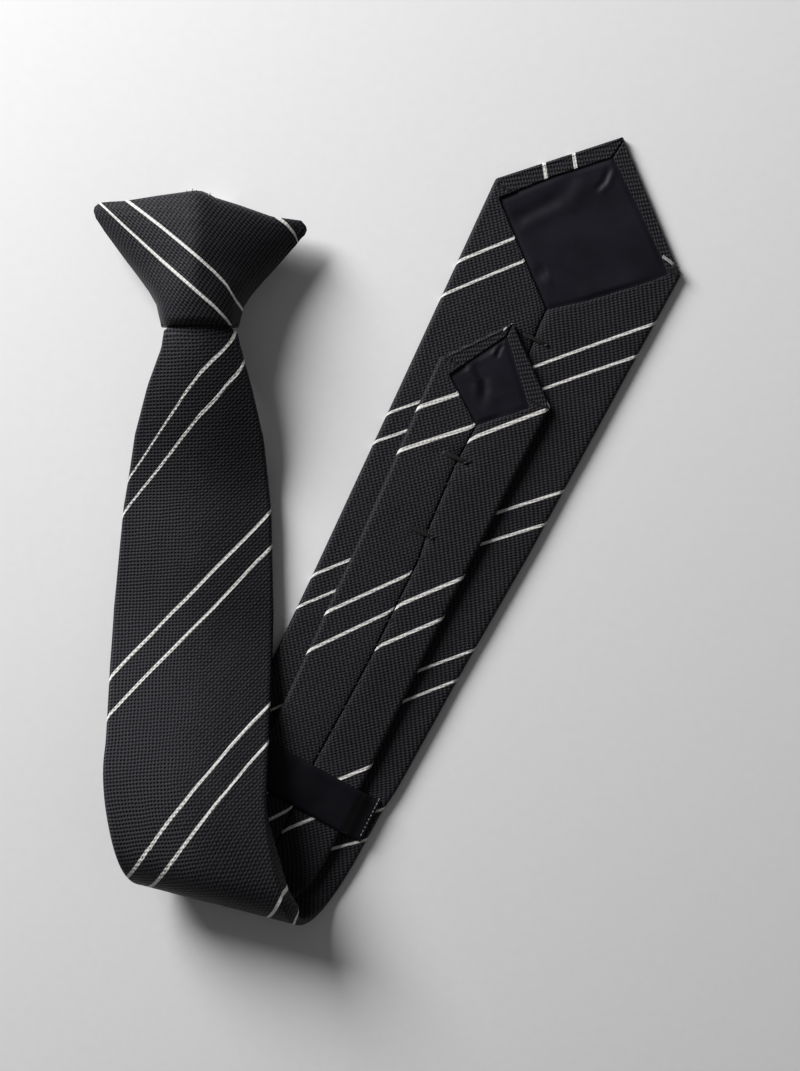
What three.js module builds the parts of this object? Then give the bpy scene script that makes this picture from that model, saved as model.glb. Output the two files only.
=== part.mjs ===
// A pre-tied clip-on tie laid flat, face up, with its lower half folded under and back up.
// Millimetres, +Z up, resting on z = 0, with the middle of its bounding box over the origin.
import * as THREE from 'three';
import { mergeVertices } from 'three/addons/utils/BufferGeometryUtils.js';

// Cloth sleeves: a face and two back flaps that meet at a seam
const wall = 1.2;
const sleeveHollow = 1.6;
const seamGap = 0.8;
const liningThick = 1.0;
const clear = 0.3;

// Lengths along the cloth, from the mouth of the knot
const wideLength = 506;
const narrowLength = 431.7;
const tuckedIn = 12;
const neckEnds = 1;

// Full widths at the corners of the two points, and what tapers up from them
const wideTip = 71.5;
const narrowTip = 42.5;
const neckWidth = 19.8;
const narrowNeckWidth = 17;
const wideHem = 5;
const narrowHem = 4.5;
const pointTip = 1.2;

// How the tie lies: the front leans, the fold slants, the tail drifts off the middle
const frontLean = THREE.MathUtils.degToRad(1.95);
const foldSlant = THREE.MathUtils.degToRad(14.4);
const foldAt = 183;
const foldRadius = 11;
const foldDrift = 20.3;
const driftBefore = 28;
const driftAfter = 12;
const slopeRun = 85;
const neckRun = 62;
const crown = 3;
const tailDrift = 5.5;

// The knot, a hollow wrap of cloth
const knotWidth = 73.8;
const knotHeight = 46.9;
const knotWall = 1.8;
const knotBulge = 3.8;
const knotLeftDrop = 3.2;
const knotRightDrop = 9.4;
const mouthPlay = 0.5;
const knotCorner = 1.5;
const knotSteps = 14;

// The keeper loop across the back of the wide blade
const keeperAt = 253.5;
const keeperWidth = 15.7;
const keeperThick = 1.0;
const keeperInset = 3;
const keeperShoulder = 0.6;
const keeperSpread = 2.8;
const keeperSlant = THREE.MathUtils.degToRad(2);

// The clip behind the knot, one bent strip of plate
const clipWidth = 18;
const clipLength = 40;
const clipPlate = 1.2;
const clipGap = 5;
const clipFromMouth = 4;

// Heights that follow from the layers
const thick = 2 * wall + sleeveHollow;
const layerPitch = thick + clear;
const rearLevel = thick;
const foldTop = rearLevel + 2 * foldRadius;
const frontLow = layerPitch + clear;
const bowSlope = Math.atan(4 * crown / neckWidth);
const mouthHalf = neckWidth / 2 + Math.sin(bowSlope) * thick / 2 + mouthPlay + knotWall;
const mouthHeight = 2 * (knotWall + mouthPlay) + layerPitch + thick + crown;
const knotBack = 2 * clipPlate + clipGap + clear;
const neckLevel = knotBack + knotWall + mouthPlay + layerPitch;
const foldArc = Math.PI * foldRadius;
const foldSkew = Math.tan(foldSlant - frontLean);
const foldEnd = foldAt + foldArc / Math.cos(foldSlant - frontLean);

const striped = new THREE.MeshStandardMaterial({ color: 0x232428, roughness: 0.85, metalness: 0 });
const satin = new THREE.MeshStandardMaterial({ color: 0x1c1c22, roughness: 0.45, metalness: 0 });
const steel = new THREE.MeshStandardMaterial({ color: 0x8d8f92, roughness: 0.35, metalness: 0.9 });

// Plan directions: along and across the front, along and square to the fold line
const along = new THREE.Vector2(-Math.sin(frontLean), -Math.cos(frontLean));
const across = new THREE.Vector2(Math.cos(frontLean), -Math.sin(frontLean));
const foldLine = new THREE.Vector2(Math.cos(foldSlant), -Math.sin(foldSlant));
const foldOut = new THREE.Vector2(-Math.sin(foldSlant), -Math.cos(foldSlant));
const foldStart = along.clone().multiplyScalar(foldAt);

function smooth(x) {
  const t = THREE.MathUtils.clamp(x, 0, 1);
  return t * t * (3 - 2 * t);
}

// Value at x of a table of [place, value] rows, straight between rows
function tableAt(rows, x) {
  if (x <= rows[0][0]) return rows[0][1];
  for (let i = 1; i < rows.length; i += 1) {
    const [x0, y0] = rows[i - 1];
    const [x1, y1] = rows[i];
    if (x <= x1) return y0 + (y1 - y0) * (x - x0) / (x1 - x0);
  }
  return rows[rows.length - 1][1];
}

// Half widths: places are shares of the length, sizes are shares of the half width at the tip
const wideShape = [[0.006, 0.36], [0.015, 0.40], [0.042, 0.525], [0.074, 0.645], [0.124, 0.74],
  [0.194, 0.795], [0.45, 0.815], [0.63, 0.875], [0.93, 1]];
const narrowShape = [[0.02, 0.52], [0.08, 0.70], [0.2, 0.82], [0.5, 0.85], [0.77, 0.9], [0.95, 1]];

function halfWidth(rows, length, tip, neck, s) {
  const fromNeck = [[neckEnds / length, neck / tip], ...rows];
  return Math.max(pointTip, Math.min(tip / 2 * tableAt(fromNeck, s / length), length - s));
}

const wideHalf = (s) => halfWidth(wideShape, wideLength, wideTip, neckWidth, s);
const narrowHalf = (s) => halfWidth(narrowShape, narrowLength, narrowTip, narrowNeckWidth, s);
const wideMiddle = () => 0;
const narrowMiddle = (s) => -tailDrift * Math.max(0, (s - foldEnd) / (narrowLength - foldEnd));

// Height of the back of the wide blade over the front half
function frontHeight(d, s, u) {
  const rise = smooth(1 + d / slopeRun);
  const neck = 1 - smooth(s / neckRun);
  const bow = 1 - (u / wideHalf(s)) ** 2;
  return frontLow + (foldTop - frontLow) * rise + neck * (neckLevel - frontLow + crown * bow);
}

// Where the back of the wide blade lies, s along the cloth and u to the right
function onBack(s, u) {
  const plan = along.clone().multiplyScalar(s).addScaledVector(across, u).sub(foldStart);
  const d = plan.dot(foldOut);
  const drift = foldDrift * smooth((d + driftBefore) / (driftBefore + foldArc + driftAfter));
  const sideways = plan.dot(foldLine) + drift;
  let out = d;
  let z = rearLevel;
  if (d <= 0) {
    z = frontHeight(d, s, u);
  } else if (d < foldArc) {
    out = foldRadius * Math.sin(d / foldRadius);
    z = foldTop - foldRadius * (1 - Math.cos(d / foldRadius));
  } else {
    out = foldArc - d;
  }
  const at = foldStart.clone().addScaledVector(foldOut, out).addScaledVector(foldLine, sideways);
  return new THREE.Vector3(at.x, at.y, z);
}

// A point h above that surface, towards the face
function onTie(s, u, h) {
  const step = 0.02;
  const alongIt = onBack(s + step, u).sub(onBack(s - step, u));
  const acrossIt = onBack(s, u + step).sub(onBack(s, u - step));
  return onBack(s, u).addScaledVector(alongIt.cross(acrossIt).normalize(), h);
}

// Cross lines run square to the blade, and turn parallel to the fold near it
function skewAt(s) {
  const before = smooth((s - foldAt + slopeRun) / (slopeRun - driftBefore));
  const after = smooth((s - foldEnd - driftAfter) / slopeRun);
  return foldSkew * before * (1 - after);
}

// A closed solid through rings of points. A ring goes out along one side and comes back along
// the other, so each end is closed by rungs between its opposite points.
function loft(name, rings, material) {
  const count = rings[0].length;
  const positions = rings.flat().flatMap((p) => [p.x, p.y, p.z]);
  const indices = [];
  for (let i = 0; i + 1 < rings.length; i += 1) {
    for (let j = 0; j < count; j += 1) {
      const a = i * count + j;
      const b = i * count + (j + 1) % count;
      indices.push(a, b, b + count, a, b + count, a + count);
    }
  }
  const lastRing = (rings.length - 1) * count;
  for (let j = 0; j + 1 < count / 2; j += 1) {
    const [a, b, c, d] = [j, j + 1, count - 2 - j, count - 1 - j];
    indices.push(a, c, b, a, d, c);
    indices.push(lastRing + a, lastRing + b, lastRing + c, lastRing + a, lastRing + c, lastRing + d);
  }
  const loose = new THREE.BufferGeometry();
  loose.setAttribute('position', new THREE.Float32BufferAttribute(positions, 3));
  loose.setIndex(indices);
  const geometry = outward(mergeVertices(loose, 1e-4));
  geometry.computeVertexNormals();
  const mesh = new THREE.Mesh(geometry, material);
  mesh.name = name;
  return mesh;
}

// Turns every face over where the signed volume says that they point in
function outward(geometry) {
  const p = geometry.attributes.position;
  const index = geometry.index.array;
  const [a, b, c] = [new THREE.Vector3(), new THREE.Vector3(), new THREE.Vector3()];
  let volume = 0;
  for (let i = 0; i < index.length; i += 3) {
    a.fromBufferAttribute(p, index[i]);
    b.fromBufferAttribute(p, index[i + 1]);
    c.fromBufferAttribute(p, index[i + 2]);
    volume += a.dot(b.cross(c));
  }
  if (volume < 0) {
    for (let i = 0; i < index.length; i += 3) {
      [index[i], index[i + 1]] = [index[i + 1], index[i]];
    }
  }
  return geometry;
}

// Points of a half ellipse, from the back of a sleeve round its edge to the face
function edge(side, centre, radius, half, steps) {
  const points = [];
  for (let i = 0; i <= steps; i += 1) {
    const angle = Math.PI * i / steps - Math.PI / 2;
    const u = side * (centre + radius * Math.cos(angle));
    points.push(new THREE.Vector2(u, thick / 2 + half * Math.sin(angle)));
  }
  return points;
}

// The C-shaped section of a sleeve, from the left flap round the face to the right flap and back
function sleeveOutline(half, gap) {
  const edgeWall = Math.min(wall, 0.4 * half);
  const outerRadius = Math.min(thick / 2, 0.5 * half);
  const innerRadius = Math.min(sleeveHollow / 2, 0.25 * half);
  const outer = half - outerRadius;
  const inner = half - edgeWall - innerRadius;
  const at = (u, h) => new THREE.Vector2(u, h);
  const flap = (gap + Math.min(outer, inner)) / 2;
  return [
    at(-gap, 0), at(-flap, 0),
    ...edge(-1, outer, outerRadius, thick / 2, 4),
    at(-outer / 2, thick), at(0, thick), at(outer / 2, thick),
    ...edge(1, outer, outerRadius, thick / 2, 4).reverse(),
    at(flap, 0), at(gap, 0),
    at(gap, wall), at(flap, wall),
    ...edge(1, inner, innerRadius, sleeveHollow / 2, 4),
    at(inner / 2, thick - wall), at(0, thick - wall), at(-inner / 2, thick - wall),
    ...edge(-1, inner, innerRadius, sleeveHollow / 2, 4).reverse(),
    at(-flap, wall), at(-gap, wall),
  ];
}

// Half the opening between the flaps: the seam, then the open V, then the hems of the point
function flapGap(length, tip, hem, halfAt, s) {
  const vertex = length - tip * 0.92;
  const hemAcross = hem * Math.SQRT2;
  const open = Math.min((s - vertex) * 1.15, halfAt(s) - hemAcross);
  return Math.max(Math.min(seamGap / 2, halfAt(s) / 4), open);
}

// Places along a blade where a cross line is wanted
function places(length, tip, hem) {
  const list = [-tuckedIn, 0, neckEnds];
  const run = (from, to, count) => {
    for (let i = 1; i <= count; i += 1) list.push(from + (to - from) * i / count);
  };
  run(neckEnds, neckRun, 8);
  run(neckRun, foldAt - slopeRun, 2);
  run(foldAt - slopeRun, foldAt, 8);
  run(foldAt, foldEnd, 12);
  run(foldEnd, foldEnd + driftAfter, 2);
  run(foldEnd + driftAfter, length - tip * 0.92, 3);
  run(length - tip * 0.92, length - tip / 2, 3);
  run(length - tip / 2, length - hem * Math.SQRT2, 3);
  run(length - hem * Math.SQRT2, length - pointTip, 2);
  return list;
}

// One sleeve of cloth, its back lying `below` under the back of the wide blade
function blade(name, length, tip, hem, halfAt, middleAt, below) {
  const rings = places(length, tip, hem).map((place) => {
    const outline = sleeveOutline(halfAt(place), flapGap(length, tip, hem, halfAt, place));
    return outline.map(({ x, y }) => {
      const u = x + middleAt(place);
      return onTie(place + skewAt(place) * u, u, y - below);
    });
  });
  return loft(name, rings, striped);
}

// The sheet of lining inside a point, tucked under the flaps and the hems all round
function tipLining(name, length, tip, halfAt, middleAt, below) {
  const tuck = 0.14 * tip;
  const margin = 2 * wall + clear;
  const start = length - tip * 0.92 - tuck;
  const end = length - margin - 3 * wall;
  const corner = length - tip / 2;
  const base = wall + (sleeveHollow - liningThick) / 2;
  const rings = [start, (start + corner) / 2, corner, (corner + end) / 2, end].map((place) => {
    const half = Math.min((place - start) * 1.15 + 3 * wall, halfAt(place) - margin);
    const top = base + liningThick;
    const outline = [[-half, base], [0, base], [half, base], [half, top], [0, top], [-half, top]];
    return outline.map(([u, h]) => onTie(place, u + middleAt(place), h - below));
  });
  return loft(name, rings, satin);
}

// The ribbon across the wide blade's back, stepping over the narrow blade
function keeperLoop() {
  const end = wideHalf(keeperAt) - keeperInset;
  const shoulder = narrowHalf(keeperAt) - keeperShoulder;
  const foot = shoulder + keeperSpread;
  const low = clear;
  const high = layerPitch + clear;
  const slant = Math.hypot(keeperSpread, high - low);
  const mitre = keeperThick * (slant - keeperSpread) / (high - low);
  const under = [[-end, low], [-foot, low], [-shoulder, high], [shoulder, high], [foot, low], [end, low]];
  const over = [[-end, low], [-foot - mitre, low], [-shoulder - mitre, high], [shoulder + mitre, high],
    [foot + mitre, low], [end, low]].map(([u, h]) => [u, h + keeperThick]).reverse();
  const sideways = narrowMiddle(keeperAt);
  const rings = [-keeperWidth / 2, keeperWidth / 2].map((offset) => (
    [...under, ...over].map(([u, h]) => (
      onTie(keeperAt + offset - u * Math.tan(keeperSlant), u + sideways, -h)))));
  return loft('keeper_loop', rings, satin);
}

// Knot sections: share of height, of the flare, of the side height, and of the bulge
const knotSections = [
  { up: 0, flare: 0, side: 0.77, bulge: 0 },
  { up: 0.08, flare: 0.035, side: 0.78, bulge: 0.47 },
  { up: 0.17, flare: 0.073, side: 0.78, bulge: 0.74 },
  { up: 0.28, flare: 0.19, side: 0.7, bulge: 0.92 },
  { up: 0.42, flare: 0.374, side: 0.52, bulge: 1 },
  { up: 0.61, flare: 0.628, side: 0.456, bulge: 0.87 },
  { up: 0.77, flare: 0.841, side: 0.425, bulge: 0.55 },
  { up: 0.9, flare: 0.979, side: 0.41, bulge: 0.13 },
  { up: 0.955, flare: 1, side: 0.405, bulge: -0.34 },
  { up: 1, flare: 0.92, side: 0.394, bulge: -1.1 },
];

// The outline of the knot across its height, `skin` inside the outer surface
function knotOutline(section, skin) {
  const half = mouthHalf + (knotWidth / 2 - mouthHalf) * section.flare - skin;
  const low = knotBack + skin;
  const side = knotBack + mouthHeight * section.side - skin / 2;
  const top = knotBack + mouthHeight + knotBulge * section.bulge - skin;
  const front = [];
  const back = [];
  for (let i = 0; i <= knotSteps; i += 1) {
    const x = 2 * i / knotSteps - 1;
    front.push([half * x, side + (top - side) * (1 - Math.abs(x) ** 2.2)]);
    back.push([half * x, low + knotCorner * x ** 8]);
  }
  return [...front, ...back.reverse()];
}

// The top edge of the knot falls a little to the left and more to the right
function knotTop(u) {
  const share = Math.abs(u) / (knotWidth / 2);
  return knotHeight - share * (u < 0 ? knotLeftDrop : knotRightDrop);
}

function knotWrap() {
  const ring = (section, skin) => knotOutline(section, skin).map(([x, z]) => (
    new THREE.Vector3(x, section.up * knotTop(x), z)));
  const outer = knotSections.map((section) => ring(section, 0));
  const inner = knotSections.slice(0, -1).map((section) => ring(section, knotWall));
  return loft('knot_wrap', [...inner.reverse(), ...outer], striped);
}

// A plain strip bent into a narrow U, open towards the blade
function collarClip() {
  const height = 2 * clipPlate + clipGap;
  const profile = new THREE.Shape();
  const bend = height / 2;
  profile.moveTo(0, 0);
  profile.lineTo(clipLength - bend, 0);
  profile.absarc(clipLength - bend, bend, bend, -Math.PI / 2, Math.PI / 2, false);
  profile.lineTo(0, height);
  profile.lineTo(0, height - clipPlate);
  profile.lineTo(clipLength - bend, height - clipPlate);
  profile.absarc(clipLength - bend, bend, clipGap / 2, Math.PI / 2, -Math.PI / 2, true);
  profile.lineTo(0, clipPlate);
  profile.closePath();
  const solid = new THREE.ExtrudeGeometry(profile, {
    depth: clipWidth, bevelEnabled: false, curveSegments: 10,
  });
  solid.deleteAttribute('uv');
  solid.deleteAttribute('normal');
  const mesh = new THREE.Mesh(mergeVertices(solid, 1e-4), steel);
  mesh.geometry.computeVertexNormals();
  mesh.name = 'collar_clip';
  mesh.rotation.set(Math.PI / 2, Math.PI / 2, 0);
  mesh.position.set(-clipWidth / 2, clipFromMouth, 0);
  return mesh;
}

const tie = new THREE.Group();
tie.add(knotWrap());
tie.add(blade('wide_blade', wideLength, wideTip, wideHem, wideHalf, wideMiddle, 0));
tie.add(tipLining('wide_tip_lining', wideLength, wideTip, wideHalf, wideMiddle, 0));
tie.add(blade('narrow_blade', narrowLength, narrowTip, narrowHem, narrowHalf, narrowMiddle, layerPitch));
tie.add(tipLining('narrow_tip_lining', narrowLength, narrowTip, narrowHalf, narrowMiddle, layerPitch));
tie.add(keeperLoop());
tie.add(collarClip());

// Move the whole over the origin: middle of the bounding box in plan, lowest point on z = 0
tie.updateMatrixWorld(true);
const bounds = new THREE.Box3().setFromObject(tie, true);
const middle = bounds.getCenter(new THREE.Vector3());
tie.position.set(-middle.x, -middle.y, -bounds.min.z);

export default tie;
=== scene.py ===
# The looks of a striped clip-on tie that lies folded on a pale floor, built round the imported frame.
# Lengths in the tables are millimetres, and MM turns them into Blender's metres.
import math

import bmesh
import bpy
import numpy as np
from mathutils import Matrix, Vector


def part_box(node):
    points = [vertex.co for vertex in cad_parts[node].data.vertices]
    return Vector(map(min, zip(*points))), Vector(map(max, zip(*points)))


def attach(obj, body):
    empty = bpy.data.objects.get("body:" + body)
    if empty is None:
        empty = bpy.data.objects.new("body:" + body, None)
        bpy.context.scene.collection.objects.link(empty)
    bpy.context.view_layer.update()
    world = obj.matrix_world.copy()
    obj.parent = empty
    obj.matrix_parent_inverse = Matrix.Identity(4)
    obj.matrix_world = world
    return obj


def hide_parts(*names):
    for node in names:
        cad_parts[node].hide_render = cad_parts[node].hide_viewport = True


MM = 0.001

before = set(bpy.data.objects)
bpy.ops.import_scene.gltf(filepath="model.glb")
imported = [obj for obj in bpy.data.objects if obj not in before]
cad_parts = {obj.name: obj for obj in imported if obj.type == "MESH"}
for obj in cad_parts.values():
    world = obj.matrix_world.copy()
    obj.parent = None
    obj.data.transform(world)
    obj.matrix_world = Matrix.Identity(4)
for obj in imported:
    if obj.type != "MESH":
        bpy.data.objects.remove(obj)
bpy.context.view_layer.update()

# The tie's own sizes, as the frame has them, but for cloth pressed thinner than the solids
WALL = 0.9
HOLLOW = 1.0
THICK = 2 * WALL + HOLLOW
SOLID_THICK = 4.0
CLEAR = 0.3
PITCH = THICK + CLEAR
WIDE_LENGTH, NARROW_LENGTH = 506.0, 431.7
WIDE_TIP, NARROW_TIP = 71.5, 42.5
NECK_WIDTH, NARROW_NECK_WIDTH = 19.8, 17.0
TUCKED_IN = 12.0
NECK_ENDS = 1.0
SEAM_GAP = 0.35
HEM_DROP = 0.45

# How it lies
FRONT_LEAN = math.radians(1.95)
FOLD_SLANT = math.radians(14.4)
FOLD_AT = 183.0
FOLD_RADIUS = 11.0
FOLD_REACH = 9.9
FOLD_DRIFT = 20.3
DRIFT_BEFORE, DRIFT_AFTER = 28.0, 12.0
SLOPE_RUN = 85.0
NECK_RUN = 62.0
CROWN = 3.0
TAIL_DRIFT = 5.5

# The knot and the clip that carries it
KNOT_WIDTH = 73.8
KNOT_WALL = 1.8
KNOT_BULGE = 3.8
MOUTH_PLAY = 0.5
CLIP_PLATE, CLIP_GAP, CLIP_FROM_MOUTH = 1.2, 5.0, 4.0

# The keeper loop
KEEPER_AT, KEEPER_WIDTH, KEEPER_THICK = 252.6, 15.9, 0.7
KEEPER_INSET, KEEPER_SHOULDER, KEEPER_SPREAD = 3.2, 0.6, 5.2
KEEPER_SLANT = math.radians(2.0)

# Details of the cloth: the face's crown, the right flap's sag beside the fold, out and down
FACE_CROWN, CROWN_FADES_FROM = 0.9, 150.0
SAG_OUT, SAG_DOWN = 2.4, 1.6

# Heights that follow from the layers
REAR_LEVEL = THICK
FOLD_TOP = REAR_LEVEL + 2 * FOLD_RADIUS
FRONT_LOW = PITCH + CLEAR
KNOT_BACK = 2 * CLIP_PLATE + CLIP_GAP + CLEAR
NECK_LEVEL = KNOT_BACK + KNOT_WALL + MOUTH_PLAY + SOLID_THICK + CLEAR + SOLID_THICK - THICK
MOUTH_HEIGHT = 2 * (KNOT_WALL + MOUTH_PLAY) + 2 * SOLID_THICK + CLEAR + CROWN
BOW_SLOPE = math.atan(4 * CROWN / NECK_WIDTH)
MOUTH_HALF = NECK_WIDTH / 2 + math.sin(BOW_SLOPE) * SOLID_THICK / 2 + MOUTH_PLAY + KNOT_WALL
FOLD_ARC = math.pi * FOLD_RADIUS
FOLD_SKEW = math.tan(FOLD_SLANT - FRONT_LEAN)
FOLD_END = FOLD_AT + FOLD_ARC / math.cos(FOLD_SLANT - FRONT_LEAN)

# Plan directions, and the mouth of the knot, which the clip's node places
ALONG = np.array([-math.sin(FRONT_LEAN), -math.cos(FRONT_LEAN)])
ACROSS = np.array([math.cos(FRONT_LEAN), -math.sin(FRONT_LEAN)])
FOLD_LINE = np.array([math.cos(FOLD_SLANT), -math.sin(FOLD_SLANT)])
FOLD_OUT = np.array([-math.sin(FOLD_SLANT), -math.cos(FOLD_SLANT)])
FOLD_START = ALONG * FOLD_AT
clip_low, clip_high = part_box("collar_clip")
MOUTH = np.array([(clip_low.x + clip_high.x) / 2 / MM, clip_low.y / MM - CLIP_FROM_MOUTH])

# Half widths: shares of the length, shares of the half width at the tip
WIDE_SHAPE = [(0.006, 0.36), (0.015, 0.40), (0.042, 0.525), (0.074, 0.645), (0.124, 0.74),
              (0.194, 0.795), (0.45, 0.815), (0.63, 0.875), (0.93, 1)]
NARROW_SHAPE = [(0.02, 0.52), (0.08, 0.70), (0.2, 0.82), (0.5, 0.85), (0.77, 0.9), (0.95, 1)]


def smooth(x):
    t = np.clip(x, 0, 1)
    return t * t * (3 - 2 * t)


def table(rows, x):
    """Straight between the rows, and on at the same slope past both ends."""
    places = np.array([r[0] for r in rows], float)
    values = np.array([r[1] for r in rows], float)
    x = np.asarray(x, float)
    inside = np.interp(x, places, values)
    before = values[0] + (x - places[0]) * (values[1] - values[0]) / (places[1] - places[0])
    after = values[-1] + (x - places[-1]) * (values[-1] - values[-2]) / (places[-1] - places[-2])
    return np.where(x < places[0], before, np.where(x > places[-1], after, inside))


def half_width(shape, length, tip, neck, s):
    places = [NECK_ENDS / length] + [r[0] for r in shape]
    shares = [neck / tip] + [r[1] for r in shape]
    square = tip / 2 * np.interp(np.asarray(s, float) / length, places, shares)
    return np.maximum(0.4, np.minimum(square, length - s))


def wide_half(s):
    return half_width(WIDE_SHAPE, WIDE_LENGTH, WIDE_TIP, NECK_WIDTH, s)


def narrow_half(s):
    return half_width(NARROW_SHAPE, NARROW_LENGTH, NARROW_TIP, NARROW_NECK_WIDTH, s)


def narrow_middle(s):
    return -TAIL_DRIFT * np.maximum(0, (s - FOLD_END) / (NARROW_LENGTH - FOLD_END))


WIDE_CORNER, NARROW_CORNER = 470.2, 410.0

# The points' slanting edges: half width at a place, that place, how fast it narrows from there
WIDE_POINT = ((37.4, 471.0, 1.0), (36.4, 470.5, 1.169))
NARROW_POINT = ((21.2, 406.5, 0.797), (21.0, 409.0, 1.193))


def slanting(row, s):
    """Half width on one side of a point."""
    half, place, slope = row
    return half - slope * (s - place)


# How far the cloth's two edges lie inside the solid's: the place along the blade, then the distance
WIDE_TRIM_LEFT = [(0, 1.0), (8, 2.3), (20, 1.7), (80, 1.3), (120, 1.1), (150, 1.7), (165, 1.0),
                  (182, 0), (319, 0), (400, -0.4), (470, -0.9)]
WIDE_TRIM_RIGHT = [(190, 0), (225, 2.0), (250, 1.9), (262, 0.9), (310, 0.5), (360, -0.6)]


def wide_sides(s):
    """Half widths to the left and to the right, with the point a little off the middle."""
    whole = wide_half(np.minimum(s, WIDE_CORNER))
    left = whole - np.interp(s, *zip(*WIDE_TRIM_LEFT))
    right = whole - np.interp(s, *zip(*WIDE_TRIM_RIGHT))
    return np.minimum(left, slanting(WIDE_POINT[0], s)), np.minimum(right, slanting(WIDE_POINT[1], s))


def narrow_sides(s):
    whole = narrow_half(np.minimum(s, NARROW_CORNER)) + 0 * s
    return np.minimum(whole, slanting(NARROW_POINT[0], s)), np.minimum(whole, slanting(NARROW_POINT[1], s))


def on_back(s, u):
    """Where the back of the wide blade lies, s along the cloth and u to the right."""
    plan = s[..., None] * ALONG + u[..., None] * ACROSS - FOLD_START
    d = plan @ FOLD_OUT
    drift = FOLD_DRIFT * smooth((d + DRIFT_BEFORE) / (DRIFT_BEFORE + FOLD_ARC + DRIFT_AFTER))
    sideways = plan @ FOLD_LINE + drift
    rise = smooth(1 + d / SLOPE_RUN)
    neck = 1 - smooth(s / NECK_RUN)
    bow = 1 - (u / wide_half(s)) ** 2
    front = FRONT_LOW + (FOLD_TOP - FRONT_LOW) * rise + neck * (NECK_LEVEL - FRONT_LOW + CROWN * bow)
    turn = d / FOLD_RADIUS
    out = np.where(d <= 0, d, np.where(d < FOLD_ARC, FOLD_REACH * np.sin(turn), FOLD_ARC - d))
    rolled = FOLD_TOP - FOLD_RADIUS * (1 - np.cos(turn))
    z = np.where(d <= 0, front, np.where(d < FOLD_ARC, rolled, REAR_LEVEL))
    at = MOUTH + FOLD_START + out[..., None] * FOLD_OUT + sideways[..., None] * FOLD_LINE
    return np.concatenate([at, z[..., None]], axis=-1)


def on_tie(s, u, h):
    """A point h above that surface, towards the face."""
    s, u, h = np.broadcast_arrays(np.asarray(s, float), np.asarray(u, float), np.asarray(h, float))
    step = 0.02
    along = on_back(s + step, u) - on_back(s - step, u)
    across = on_back(s, u + step) - on_back(s, u - step)
    normal = np.cross(along, across)
    normal /= np.linalg.norm(normal, axis=-1, keepdims=True)
    return on_back(s, u) + normal * h[..., None]


def skew_at(s):
    before = smooth((s - FOLD_AT + SLOPE_RUN) / (SLOPE_RUN - DRIFT_BEFORE))
    after = smooth((s - FOLD_END - DRIFT_AFTER) / SLOPE_RUN)
    return FOLD_SKEW * before * (1 - after)


def ripple(x, y, seed):
    """Soft unevenness from a few waves, from -1 to 1."""
    draw = np.random.default_rng(seed)
    total = np.zeros(np.broadcast(x, y).shape)
    for size in (38.0, 24.0, 15.0, 9.5):
        angle, phase = draw.uniform(0, math.pi), draw.uniform(0, 2 * math.pi)
        wave = 2 * math.pi * (x * math.cos(angle) + y * math.sin(angle)) / size
        total = total + np.sin(wave + phase) * size / 38.0
    return total / 2.2


def made(name, points, faces, material, layers=None, smooth_faces=True):
    """A mesh object from points in millimetres, with UV layers given per point."""
    mesh = bpy.data.meshes.new(name)
    mesh.from_pydata((np.asarray(points) * MM).tolist(), [], [list(map(int, f)) for f in faces])
    corner_points = np.zeros(len(mesh.loops), np.int32)
    mesh.loops.foreach_get("vertex_index", corner_points)
    for layer, values in (layers or {}).items():
        uv = mesh.uv_layers.new(name=layer)
        uv.data.foreach_set("uv", np.asarray(values)[corner_points].astype(np.float32).ravel())
    mesh.polygons.foreach_set("use_smooth", [smooth_faces] * len(mesh.polygons))
    mesh.materials.append(material)
    mesh.update()
    piece = bpy.data.objects.new(name, mesh)
    bpy.context.scene.collection.objects.link(piece)
    return piece


def ring_faces(rings, count, close_ends=True):
    """Quads between rings of points, with rungs across both ends."""
    faces = []
    for i in range(rings - 1):
        for j in range(count):
            k = (j + 1) % count
            faces.append((i * count + j, i * count + k, (i + 1) * count + k, (i + 1) * count + j))
    if close_ends:
        last = (rings - 1) * count
        for j in range(count // 2 - 1):
            a, b, c, d = j, j + 1, count - 2 - j, count - 1 - j
            faces.append((a, d, c, b))
            faces.append((last + a, last + b, last + c, last + d))
    return faces


def face_outward(piece):
    """Turns the mesh inside out where its signed volume is negative."""
    mesh = piece.data
    mesh.calc_loop_triangles()
    co = np.zeros(len(mesh.vertices) * 3, np.float32)
    mesh.vertices.foreach_get("co", co)
    co = co.reshape(-1, 3).astype(float)
    tri = np.zeros(len(mesh.loop_triangles) * 3, np.int32)
    mesh.loop_triangles.foreach_get("vertices", tri)
    a, b, c = (co[tri.reshape(-1, 3)[:, k]] for k in range(3))
    if (a * np.cross(b, c)).sum() < 0:
        mesh.flip_normals()
    return piece


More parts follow.
